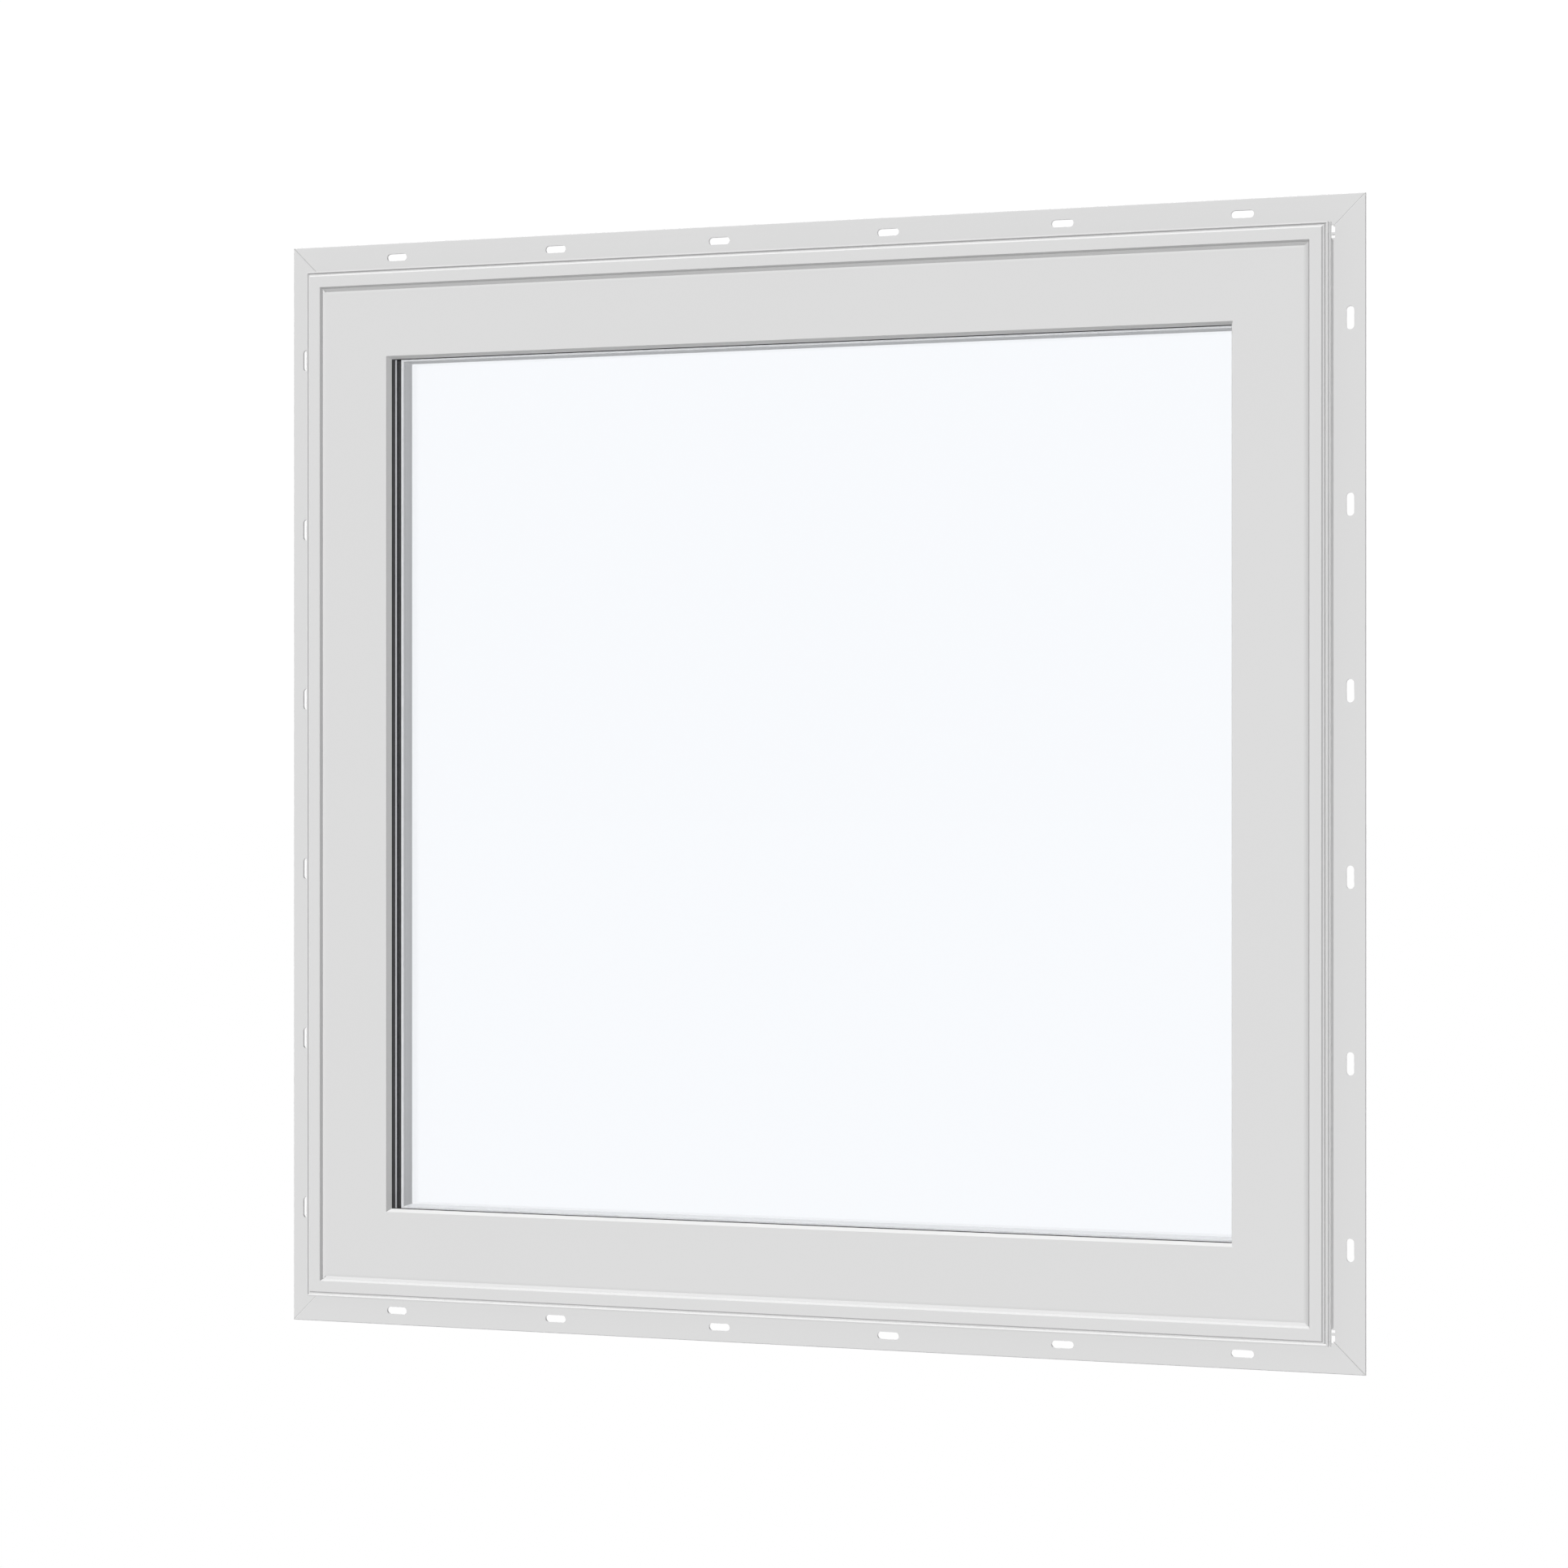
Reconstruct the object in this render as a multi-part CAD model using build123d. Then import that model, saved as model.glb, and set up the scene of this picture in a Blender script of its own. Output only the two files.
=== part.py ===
from build123d import *
import os

# Awning window of white vinyl with a nail fin, closed, in millimetres.
# X runs along the width, Z is up and the outdoor side faces -Y.
# The origin lies on the back face of the bottom nail fin, on its line of slots and at mid width.
# Profiles are drawn as (inward, outward): inward from the frame's outer line towards the glass,
# outward from the back face of the nail fin towards the outdoor side.

# Overall size of the frame, without its nail fin
frame_width = 914.4
frame_height = 914.4

# Nail fin: a slotted flange and a leg that clips into the frame
fin_reach = 25.4
fin_thickness = 2.5
fin_leg_thickness = 1.6
fin_leg_clearance = 0.1
fin_edge_chamfer = 0.5
fin_mitre_chamfer = 0.35
fin_corner_notch = 12.3
corner_hole_start = 0.9
corner_hole_end = 6.0
corner_slit_start = 8.1
corner_slit_end = 10.5
corner_hole_margin = 0.3
slot_width = 6.35
slot_length = 19.05
slot_pitch = 152.4
slots_per_side = 6

# Frame: outer lip with the pocket for the fin's leg, and the groove behind the lip
lip_thickness = 0.9
hook_thickness = 1.5
lip_back = 18.5
pocket_depth = 3.5
lip_step_out = 23.2
lip_step = 0.85
lip_slant = 0.05
lip_crest = 30.5
lip_crest_width = 1.1
lip_crest_fall = 0.15
groove_slope_width = 1.1
groove_depth = 1.8
groove_wall_slant = 0.6
ledge_out = 31.95
ledge_width = 0.9
face_bevel_width = 1.2

# Frame: face, walls and the stop on the room side
frame_face_out = 33.5
frame_face_width = 9.6
frame_edge_depth = 5.0
level_edge_slant = 1.1
level_strip_width = 2.9
level_strip_depth = 1.05
upright_edge_slant = 0.5
frame_wall = 2.0
frame_box_inset = 8.1
frame_room_face = 49.5
stop_reach = 25.0
stop_thickness = 21.7
room_edge_radius = 2.0

# Sash
sash_face_out = 31.0
sash_edge_clearance = 0.3
rail_bevel_width = 1.6
rail_bevel_depth = 0.11
stile_edge_width = 0.7
stile_edge_depth = 0.9
stile_bevel_width = 1.6
stile_bevel_depth = 0.58
stile_shoulder_width = 1.5
stile_shoulder_depth = 0.32
sash_flange_thickness = 6.5
sash_body_reach = 15.1
sash_face_reach = 63.4
sash_reveal_slant = 2.15
sash_leg_thickness = 7.3
sash_leg_reach = 15.35
sash_depth = 55.8
sash_wall = 2.2

# Glass, its gasket, spacer and glazing bead
pane_thickness = 3.0
cavity = 18.2
glass_edge_clearance = 4.0
gasket_thickness = 6.2
gasket_width = 7.4
gasket_lip = 0.05
spacer_inset = 0.5
spacer_width = 8.1
bead_nose_width = 7.5
bead_face_slant = 0.5
bead_overlap = 1.5
bead_nose_thickness = 3.0
bead_wall = 1.6
bead_edge_radius = 1.2

# Weatherstrip between the sash and the stop
weatherstrip_width = 5.0
weatherstrip_inset = 2.3
weatherstrip_radius = 1.2

# Hinge stays hidden beside the sash, at both jambs
track_length = 420.0
track_width = 20.0
track_height = 4.5
track_wall = 1.8
track_top_gap = 12.0
track_out = 12.0
arm_length = 330.0
arm_width = 14.0
arm_thickness = 3.0
bracket_length = 150.0
bracket_thickness = 2.5
rivet_radius = 4.0

# Operator on the sill, with its folding crank
cover_length = 190.0
cover_depth = 23.0
cover_height = 21.0
cover_sash_gap = 0.8
cover_end_slope = 26.0
cover_end_height = 5.0
cover_edge_radius = 4.0
cover_back_radius = 2.0
crank_offset = 62.0
crank_boss_radius = 7.5
crank_boss_length = 5.0
crank_arm_length = 93.0
crank_root_width = 13.0
crank_tip_width = 9.0
crank_arm_thickness = 5.0
crank_height = 9.0
knob_neck_radius = 4.0
knob_neck_length = 3.0
knob_shoulder = 4.0
knob_radius = 7.0
knob_length = 18.0
knob_edge = 1.8

# Locks on both jambs
lock_length = 96.0
lock_depth = 20.0
lock_height = 7.0
lock_edge = 2.2
lock_pivot_radius = 8.0
lock_pivot_height = 4.0
lever_length = 84.0
lever_width = 11.0
lever_tip_width = 8.0
lever_thickness = 4.5

# Cutting blocks pass the surface they cut by this much
cut_margin = 1.0

# Places worked out from the sizes above
sill_line = fin_reach / 2
mid_height = sill_line + frame_height / 2

crest_outer = lip_step + lip_slant
crest_inner = crest_outer + lip_crest_width
groove_bottom = crest_inner + groove_slope_width
ledge_start = groove_bottom + groove_wall_slant
face_start = ledge_start + ledge_width + face_bevel_width
face_end = face_start + frame_face_width
edge_out = frame_face_out - frame_edge_depth
stop_front = stop_thickness - frame_room_face
stop_edge = face_end + stop_reach

# Inner edge of the frame from its face to its inner wall, at head and sill and at the jambs
level_edge = [
    (face_end, frame_face_out),
    (face_end + level_edge_slant, edge_out),
    (face_end + level_edge_slant + level_strip_width, edge_out - level_strip_depth),
]
upright_edge = [
    (face_end, frame_face_out),
    (face_end + upright_edge_slant, edge_out),
]
jamb_wall = upright_edge[-1][0]

sash_body = face_end + sash_body_reach
sash_face_end = face_end + sash_face_reach
sash_leg_back = sash_face_out - sash_leg_thickness
sash_room_face = sash_face_out - sash_depth
sash_leg_edge = sash_face_end + sash_reveal_slant
rebate_floor = sash_leg_edge - sash_leg_reach

glass_edge = rebate_floor + glass_edge_clearance
outer_pane_front = sash_leg_back - gasket_thickness
outer_pane_back = outer_pane_front - pane_thickness
inner_pane_front = outer_pane_back - cavity
inner_pane_back = inner_pane_front - pane_thickness
spacer_edge = glass_edge + spacer_inset + spacer_width
bead_nose_edge = spacer_edge + bead_overlap

leg_outer_face = lip_thickness + fin_leg_clearance
leg_inner_face = leg_outer_face + fin_leg_thickness
hook_outer_face = leg_inner_face + fin_leg_clearance
hook_inner_face = hook_outer_face + hook_thickness
pocket_roof = lip_back + pocket_depth

# Outer edge of the sash from its edge to its face, on the rails and on the stiles
rail_edge = level_edge[-1][0] + sash_edge_clearance
rail_bevel = [
    (rail_edge, sash_face_out - rail_bevel_depth),
    (rail_edge + rail_bevel_width, sash_face_out),
]
stile_edge = jamb_wall + sash_edge_clearance
stile_shoulder = stile_edge + stile_edge_width + stile_bevel_width
stile_shoulder_out = sash_face_out - stile_shoulder_depth
stile_bevel = [
    (stile_edge, stile_shoulder_out - stile_bevel_depth - stile_edge_depth),
    (stile_edge + stile_edge_width, stile_shoulder_out - stile_bevel_depth),
    (stile_shoulder, stile_shoulder_out),
    (stile_shoulder + stile_shoulder_width, sash_face_out),
]

# Plane of every profile: its x axis points inward and up at the sill, its y axis points outdoors
profile_plane = Plane(origin=(0, 0, 0), x_dir=(0, 0, 1), z_dir=(1, 0, 0))

# Each side of the window: turn about Y, distance of the frame's outer line from the middle, length
sides = {
    "bottom": (0, frame_height / 2, frame_width),
    "left": (90, frame_width / 2, frame_height),
    "top": (180, frame_height / 2, frame_width),
    "right": (-90, frame_width / 2, frame_height),
}
frame_names = {"bottom": "sill", "left": "jamb_left", "top": "head", "right": "jamb_right"}
sash_names = {"bottom": "bottom_rail", "left": "left_stile", "top": "top_rail", "right": "right_stile"}
edges = {
    "bottom": (level_edge, rail_bevel),
    "left": (upright_edge, stile_bevel),
    "top": (level_edge, rail_bevel),
    "right": (upright_edge, stile_bevel),
}


def outline(points, rounds=()):
    """Closed profile through the points, with the named corners rounded."""
    face = make_face(Polyline(*points, close=True))
    for corner, radius in rounds:
        vertex = face.vertices().sort_by_distance((corner[0], corner[1], 0))[0]
        face = fillet(vertex, radius)
    return face


def block(low_inward, high_inward, low_outward, high_outward):
    """Rectangular profile between two pairs of distances."""
    return outline(
        [
            (low_inward, low_outward),
            (high_inward, low_outward),
            (high_inward, high_outward),
            (low_inward, high_outward),
        ]
    )


def place(piece, side):
    """Move a piece made for the sill line to its own side of the window."""
    turn, distance, _ = sides[side]
    lift = Pos(0, 0, -distance)
    return Pos(0, 0, mid_height) * Rot(0, turn, 0) * lift * piece


def mitred(profile, side):
    """Straight length of a profile with both ends cut at 45 degrees for the corners."""
    length = sides[side][2]
    box = profile.bounding_box()
    low, high = box.min.X, box.max.X
    bar = extrude(profile_plane * profile, amount=length / 2 + fin_reach, both=True)
    cutter = make_face(
        Polyline(
            (-length / 2 + low, low),
            (length / 2 - low, low),
            (length / 2 - high, high),
            (-length / 2 + high, high),
            close=True,
        )
    )
    plane = Plane(origin=(0, -box.min.Y + cut_margin, 0), x_dir=(1, 0, 0), z_dir=(0, -1, 0))
    return bar & extrude(plane * cutter, amount=box.size.Y + 2 * cut_margin)


def frame_profile(edge):
    """Frame: lip, groove, face, inner edge, side box and the hollow stop on the room side."""
    inner_wall, inner_out = edge[-1]
    skin = outline(
        [
            (0, lip_back),
            (0, lip_step_out),
            (lip_step, lip_step_out),
            (crest_outer, lip_crest - lip_crest_fall),
            (crest_inner, lip_crest),
            (groove_bottom, lip_crest - groove_depth),
            (ledge_start, ledge_out),
            (ledge_start + ledge_width, ledge_out),
            (face_start, frame_face_out),
            *edge,
            (inner_wall, stop_front),
            (stop_edge, stop_front),
            (stop_edge, -frame_room_face),
            (frame_box_inset, -frame_room_face),
            (frame_box_inset, pocket_roof),
            (hook_inner_face, pocket_roof),
            (hook_inner_face, lip_back),
            (hook_outer_face, lip_back),
            (hook_outer_face, pocket_roof),
            (lip_thickness, pocket_roof),
            (lip_thickness, lip_back),
        ],
        [
            ((stop_edge, stop_front), room_edge_radius),
            ((stop_edge, -frame_room_face), room_edge_radius),
        ],
    )
    wall = frame_wall
    inner = inner_wall - wall
    nose = outline(
        [
            (hook_inner_face + wall, pocket_roof + wall),
            (hook_inner_face + wall, frame_face_out - wall),
            (face_end - wall, frame_face_out - wall),
            (inner, inner_out - wall),
            (inner, pocket_roof + wall),
        ]
    )
    side = block(frame_box_inset + wall, inner, stop_front, pocket_roof)
    near = stop_front - wall
    far = wall - frame_room_face
    middle = (inner_wall + stop_edge) / 2
    first = block(frame_box_inset + wall, inner_wall, far, near)
    second = block(inner_wall + wall, middle, far, near)
    third = block(middle + wall, stop_edge - wall, far, near)
    return skin - nose - side - first - second - third


def nail_fin_profile():
    """Nail fin: flat flange outside the frame and a leg into the frame's pocket."""
    return outline(
        [
            (-fin_reach, 0),
            (leg_inner_face, 0),
            (leg_inner_face, pocket_roof - fin_leg_clearance),
            (leg_outer_face, pocket_roof - fin_leg_clearance),
            (leg_outer_face, fin_thickness),
            (fin_edge_chamfer - fin_reach, fin_thickness),
            (-fin_reach, fin_thickness - fin_edge_chamfer),
        ]
    )


def corner_cuts(side, low_inward, low_outward, high_outward, start, finish):
    """Cutting blocks at both ends of a fin, between two distances from the frame's corner."""
    end = sides[side][2] / 2
    profile = block(low_inward, leg_inner_face + cut_margin, low_outward, high_outward)
    cut = extrude(profile_plane * profile, amount=finish - start)
    return Pos(start - end, 0, 0) * cut + Pos(end - finish, 0, 0) * cut


def nail_fin(side):
    """Mitred fin with its row of slots, its leg cut back and its flange pierced at both corners."""
    fin = mitred(nail_fin_profile(), side)
    fin = fin - corner_cuts(side, 0, fin_thickness, pocket_roof, 0, fin_corner_notch)
    front = fin.faces().filter_by(Axis.Y).group_by(Axis.Y)[1]
    seams = front.edges().filter_by(Axis.X, reverse=True).filter_by(Axis.Z, reverse=True)
    fin = chamfer(seams, fin_mitre_chamfer)
    low, high = -cut_margin, fin_thickness + cut_margin
    for start, finish in ((corner_hole_start, corner_hole_end), (corner_slit_start, corner_slit_end)):
        fin = fin - corner_cuts(side, -corner_hole_margin, low, high, start, finish)
    slot = extrude(
        Plane.XZ * SlotOverall(slot_length, slot_width), amount=fin_thickness * 2, both=True
    )
    for index in range(slots_per_side):
        offset = (index - (slots_per_side - 1) / 2) * slot_pitch
        fin = fin - Pos(offset, 0, -fin_reach / 2) * slot
    return fin


def sash_profile(bevel):
    """Sash: flange over the hinge space, hollow body and the leg outside the glass."""
    skin = outline(
        [
            *bevel,
            (sash_face_end, sash_face_out),
            (sash_leg_edge, sash_leg_back),
            (rebate_floor, sash_leg_back),
            (rebate_floor, sash_room_face),
            (sash_body, sash_room_face),
            (sash_body, sash_face_out - sash_flange_thickness),
            (bevel[0][0], sash_face_out - sash_flange_thickness),
        ],
        [((sash_body, sash_room_face), room_edge_radius)],
    )
    wall = sash_wall
    web_line = sash_leg_back
    leg = block(sash_body + wall, sash_face_end - wall, web_line, sash_face_out - wall)
    middle = (sash_body + rebate_floor) / 2
    low, high = sash_room_face + wall, web_line - wall
    outer = block(sash_body + wall, middle - wall / 2, low, high)
    inner = block(middle + wall / 2, rebate_floor - wall, low, high)
    return skin - leg - outer - inner


def gasket_profile():
    """Rubber gasket between the sash's leg and the outer pane."""
    edge = sash_leg_edge + gasket_lip
    return block(edge - gasket_width, edge, outer_pane_front, sash_leg_back)


def spacer_profile():
    """Spacer bar that keeps the two panes apart."""
    return block(spacer_edge - spacer_width, spacer_edge, inner_pane_front, outer_pane_back)


def bead_profile():
    """Hollow glazing bead that holds the glass from the room side."""
    nose_start = bead_nose_edge - bead_nose_width
    edge = bead_nose_edge + bead_face_slant
    nose_back = inner_pane_back - bead_nose_thickness
    skin = outline(
        [
            (rebate_floor, sash_room_face),
            (rebate_floor, nose_back),
            (nose_start, nose_back),
            (nose_start, inner_pane_back),
            (bead_nose_edge, inner_pane_back),
            (edge, sash_room_face),
        ],
        [((edge, sash_room_face), bead_edge_radius)],
    )
    hollow = block(
        rebate_floor + bead_wall,
        bead_nose_edge - bead_wall,
        sash_room_face + bead_wall,
        nose_back - bead_wall,
    )
    return skin - hollow


def weatherstrip_profile():
    """Soft strip pressed between the sash's room face and the stop."""
    start = sash_body + weatherstrip_inset
    end = start + weatherstrip_width
    return outline(
        [
            (start, stop_front),
            (end, stop_front),
            (end, sash_room_face),
            (start, sash_room_face),
        ],
        [((start, sash_room_face), weatherstrip_radius), ((end, sash_room_face), weatherstrip_radius)],
    )


def pane(front, back):
    """Sheet of glass between two depths, inside the sash's rebate."""
    width = frame_width - 2 * glass_edge
    height = frame_height - 2 * glass_edge
    return Pos(0, -(front + back) / 2, mid_height) * Box(width, front - back, height)


def hinge_track():
    """Channel on the jamb's inner wall, made as on the sill and run along X."""
    shell = block(
        jamb_wall, jamb_wall + track_height,
        track_out - track_width / 2, track_out + track_width / 2,
    )
    hollow = block(
        jamb_wall + track_wall, jamb_wall + track_height,
        track_out - track_width / 2 + track_wall, track_out + track_width / 2 - track_wall,
    )
    return extrude(profile_plane * (shell - hollow), amount=track_length)


def hinge_arm():
    """Stay arm in the track, riveted to a bracket on the sash, run along X."""
    base = jamb_wall + track_wall
    arm = Pos(track_length / 2, -track_out, base + arm_thickness / 2) * extrude(
        SlotOverall(arm_length, arm_width), amount=arm_thickness / 2, both=True
    )
    bracket_place = track_length / 2 + (arm_length - bracket_length) / 2
    bracket = Pos(bracket_place, -track_out, sash_body - bracket_thickness) * extrude(
        SlotOverall(bracket_length, arm_width), amount=bracket_thickness
    )
    stay = arm + bracket
    for shift in (-1, 1):
        along = bracket_place + shift * (bracket_length / 2 - arm_width / 2)
        rivet = Pos(along, -track_out, base) * Cylinder(
            rivet_radius, sash_body - base, align=(Align.CENTER, Align.CENTER, Align.MIN)
        )
        stay = stay + rivet
    return stay


def beside_sash(piece, side):
    """Run a hinge piece down a jamb from the top corner."""
    start = -(frame_height / 2 - level_edge[-1][0] - track_top_gap)
    shifted = Pos(start, 0, 0) * piece
    if side == "left":
        shifted = mirror(shifted, about=Plane.YZ)
    return place(shifted, side)


def operator_cover():
    """Low cover over the operator on the sill, its ends sloping down in a soft double curve."""
    bottom_z = mid_height - frame_height / 2 + stop_edge
    back = -sash_room_face + cover_sash_gap
    half = cover_length / 2
    top = half - cover_end_slope
    level = [(-1, 0), (-1, 0)]
    base = Polyline((-half, cover_end_height), (-half, 0), (half, 0), (half, cover_end_height))
    right_end = Spline((half, cover_end_height), (top, cover_height), tangents=level)
    left_end = Spline((-top, cover_height), (-half, cover_end_height), tangents=level)
    shape = make_face(base + right_end + Line((top, cover_height), (-top, cover_height)) + left_end)
    front_plane = Plane(origin=(0, back, bottom_z), x_dir=(1, 0, 0), z_dir=(0, -1, 0))
    end_plane = Plane(origin=(-half, back, bottom_z), x_dir=(0, 1, 0), z_dir=(1, 0, 0))
    section = outline(
        [(0, 0), (cover_depth, 0), (cover_depth, cover_height), (0, cover_height)],
        [((cover_depth, cover_height), cover_edge_radius), ((0, cover_height), cover_back_radius)],
    )
    long_form = extrude(front_plane * shape, amount=-cover_depth)
    return long_form & extrude(end_plane * section, amount=cover_length)


def tapered_arm(length, root_width, tip_width):
    """Flat arm along +X, from a round root at the origin to a smaller round tip."""
    body = make_face(
        Polyline(
            (0, -root_width / 2),
            (length, -tip_width / 2),
            (length, tip_width / 2),
            (0, root_width / 2),
            close=True,
        )
    )
    return body + Circle(root_width / 2) + Pos(length, 0) * Circle(tip_width / 2)


def crank():
    """Folded crank: boss on the cover with the arm beside it, and the knob at its tip."""
    face = -sash_room_face + cover_sash_gap + cover_depth
    level = mid_height - frame_height / 2 + stop_edge + crank_height
    boss_plane = Plane(origin=(crank_offset, face, level), x_dir=(-1, 0, 0), z_dir=(0, 1, 0))
    boss = extrude(boss_plane * Circle(crank_boss_radius), amount=crank_boss_length)
    arm_shape = tapered_arm(crank_arm_length, crank_root_width, crank_tip_width)
    arm = extrude(boss_plane.offset(crank_boss_length) * arm_shape, amount=crank_arm_thickness)
    foot = (crank_offset - crank_arm_length, face + crank_boss_length + crank_arm_thickness, level)
    shape = make_face(
        Polyline(
            (0, 0),
            (knob_neck_radius, 0),
            (knob_neck_radius, knob_neck_length),
            (knob_radius, knob_neck_length + knob_shoulder),
            (knob_radius, knob_length - knob_edge),
            (knob_radius - knob_edge, knob_length),
            (0, knob_length),
            close=True,
        )
    )
    knob_plane = Plane(origin=foot, x_dir=(1, 0, 0), z_dir=(0, 0, 1))
    knob = revolve(knob_plane * shape, axis=Axis(foot, (0, 1, 0)))
    return boss + arm, knob


def lock(side):
    """Lock base on the jamb's stop and its lever folded down along it, made as on the sill."""
    middle = stop_front - stop_thickness / 2
    top = stop_edge + lock_height
    plate = Pos(0, -middle, stop_edge) * extrude(
        SlotOverall(lock_length, lock_depth), amount=lock_height
    )
    plate = chamfer(plate.faces().sort_by(Axis.Z)[-1].edges(), lock_edge)
    pivot = Pos(0, -middle, top) * Cylinder(
        lock_pivot_radius, lock_pivot_height, align=(Align.CENTER, Align.CENTER, Align.MIN)
    )
    turn = 0 if side == "left" else 180
    arm = extrude(tapered_arm(lever_length, lever_width, lever_tip_width), amount=lever_thickness)
    arm = Pos(0, -middle, top + lock_pivot_height) * Rot(0, 0, turn) * arm
    return place(plate, side), place(pivot + arm, side)


def build_parts():
    """Every piece of the window under the name of its node."""
    parts = {}
    rings = {
        "gasket": gasket_profile(),
        "spacer": spacer_profile(),
        "glazing_bead": bead_profile(),
        "weatherstrip": weatherstrip_profile(),
    }
    for side, (frame_edge, sash_bevel) in edges.items():
        frame_bar = mitred(frame_profile(frame_edge), side)
        sash_bar = mitred(sash_profile(sash_bevel), side)
        parts[f"frame_{frame_names[side]}"] = place(frame_bar, side)
        parts[f"sash_{sash_names[side]}"] = place(sash_bar, side)
        parts[f"nail_fin_{side}"] = place(nail_fin(side), side)
        for ring, profile in rings.items():
            parts[f"{ring}_{side}"] = place(mitred(profile, side), side)
    parts["outer_glass"] = pane(outer_pane_front, outer_pane_back)
    parts["inner_glass"] = pane(inner_pane_front, inner_pane_back)
    parts["operator_cover"] = operator_cover()
    parts["crank_arm"], parts["crank_knob"] = crank()
    for side in ("left", "right"):
        parts[f"lock_base_{side}"], parts[f"lock_lever_{side}"] = lock(side)
        parts[f"hinge_track_{side}"] = beside_sash(hinge_track(), side)
        parts[f"hinge_arm_{side}"] = beside_sash(hinge_arm(), side)
    return parts


os.makedirs("parts", exist_ok=True)
for name, piece in build_parts().items():
    piece.label = name
    export_step(piece, f"parts/{name}.step")
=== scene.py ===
"""Looks of a white vinyl awning window with a nail fin: its finishes, seals, screws and studio."""
import math
from collections import namedtuple

import bmesh
import bpy
import numpy as np
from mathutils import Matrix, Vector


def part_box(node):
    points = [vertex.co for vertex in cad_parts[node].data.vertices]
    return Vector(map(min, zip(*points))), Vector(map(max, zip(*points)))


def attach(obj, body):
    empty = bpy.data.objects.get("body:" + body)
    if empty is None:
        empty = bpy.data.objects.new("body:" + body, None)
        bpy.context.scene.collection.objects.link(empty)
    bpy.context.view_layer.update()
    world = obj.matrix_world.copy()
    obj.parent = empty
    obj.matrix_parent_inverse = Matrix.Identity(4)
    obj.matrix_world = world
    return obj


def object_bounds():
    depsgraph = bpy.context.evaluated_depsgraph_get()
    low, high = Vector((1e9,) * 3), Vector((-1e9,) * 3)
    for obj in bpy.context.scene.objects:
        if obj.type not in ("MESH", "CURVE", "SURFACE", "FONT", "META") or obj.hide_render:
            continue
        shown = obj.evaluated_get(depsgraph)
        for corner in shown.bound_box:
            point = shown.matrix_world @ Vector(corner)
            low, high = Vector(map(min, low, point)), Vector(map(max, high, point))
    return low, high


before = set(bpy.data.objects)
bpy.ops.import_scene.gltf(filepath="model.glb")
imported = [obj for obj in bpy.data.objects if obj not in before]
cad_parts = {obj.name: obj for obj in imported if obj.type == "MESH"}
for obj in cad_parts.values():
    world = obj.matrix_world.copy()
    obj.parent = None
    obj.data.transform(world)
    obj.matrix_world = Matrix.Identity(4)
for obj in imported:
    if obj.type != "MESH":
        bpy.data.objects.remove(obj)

bl_info = {
    "name": "Awning window looks",
    "version": (1, 0, 0),
    "blender": (4, 5, 0),
    "location": "3D View > Sidebar > Window",
    "description": "Finishes, seals, screws and a plain studio for a vinyl awning window",
    "category": "Object",
}

CAD_LOW, CAD_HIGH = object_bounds()
BODY = "root"
SIDES = ("bottom", "left", "top", "right")
HANDS = ("left", "right")

# Vinyl members by the way they run; the stretch draws their fine lines out along them
Run = namedtuple("Run", "word stretch members fins beads")
RUNS = (
    Run(
        word="level",
        stretch=(0.01, 1.0, 1.0),
        members=("frame_head", "frame_sill", "sash_top_rail", "sash_bottom_rail"),
        fins=("nail_fin_top", "nail_fin_bottom"),
        beads=("glazing_bead_top", "glazing_bead_bottom"),
    ),
    Run(
        word="upright",
        stretch=(1.0, 1.0, 0.01),
        members=("frame_jamb_left", "frame_jamb_right", "sash_left_stile", "sash_right_stile"),
        fins=("nail_fin_left", "nail_fin_right"),
        beads=("glazing_bead_left", "glazing_bead_right"),
    ),
)
VINYL_SPREAD = 0.06  # how far the roughness of vinyl wanders
USUAL_GLOSS = 0.5  # strength of the reflections on a bare surface
WANDER_SCALE = 9.0  # slow waves of shade per metre of vinyl

# Grain of each finish: its roughness, the pitch and depth of its pits or lines in metres, and the
# share by which its shade varies
Grain = namedtuple("Grain", "roughness pitch depth shade")
RUBBER_GRAIN = Grain(roughness=0.6, pitch=0.0008, depth=0.00003, shade=0.1)
SPACER_GRAIN = Grain(roughness=0.5, pitch=0.0006, depth=0.00002, shade=0.1)
FOAM_GRAIN = Grain(roughness=0.85, pitch=0.0012, depth=0.0001, shade=0.1)
PLASTIC_GRAIN = Grain(roughness=0.4, pitch=0.0007, depth=0.00002, shade=0.03)
ENAMEL_GRAIN = Grain(roughness=0.3, pitch=0.0015, depth=0.00001, shade=0.02)
STEEL_BRUSH = Grain(roughness=0.34, pitch=0.0003, depth=0.00001, shade=0.2)
GRAIN_SPREAD = 0.2  # how far the roughness of a grain wanders, as a share of it
BRUSH_SPREAD = 0.14  # how far the roughness of brushed steel wanders
BROAD_WAVES = 12.0  # width of a grain's broad waves in fine pits
BROAD_HEIGHT = 0.5  # height of the broad waves, as a share of the pits'
HINGE_STRETCH = (1.0, 1.0, 0.02)  # draws the brushed lines out along the upright hinges
EVEN = (1.0, 1.0, 1.0)  # leaves a pattern as it is

# Screw head: points round it, and shares of its radius from its middle over the rim to the seat
SCREW_POINTS = 32
SCREW_REACH = (0.0, 0.12, 0.24, 0.36, 0.48, 0.6, 0.72, 0.84, 0.94, 1.0, 1.0, 0.0)
RIM_HEIGHT = 0.35  # height of the rim, as a share of the head's
BAR_WIDTH = 0.16  # half width of a bar of the recess at its bottom, as a share of the radius
BAR_TOP = 1.6  # half width of a bar at the surface, as a multiple of that at its bottom
RECESS_DEPTH = 0.6  # as a share of the head's height
RECESS_END = (0.5, 0.66)  # shares of the radius between which the recess runs out

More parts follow.
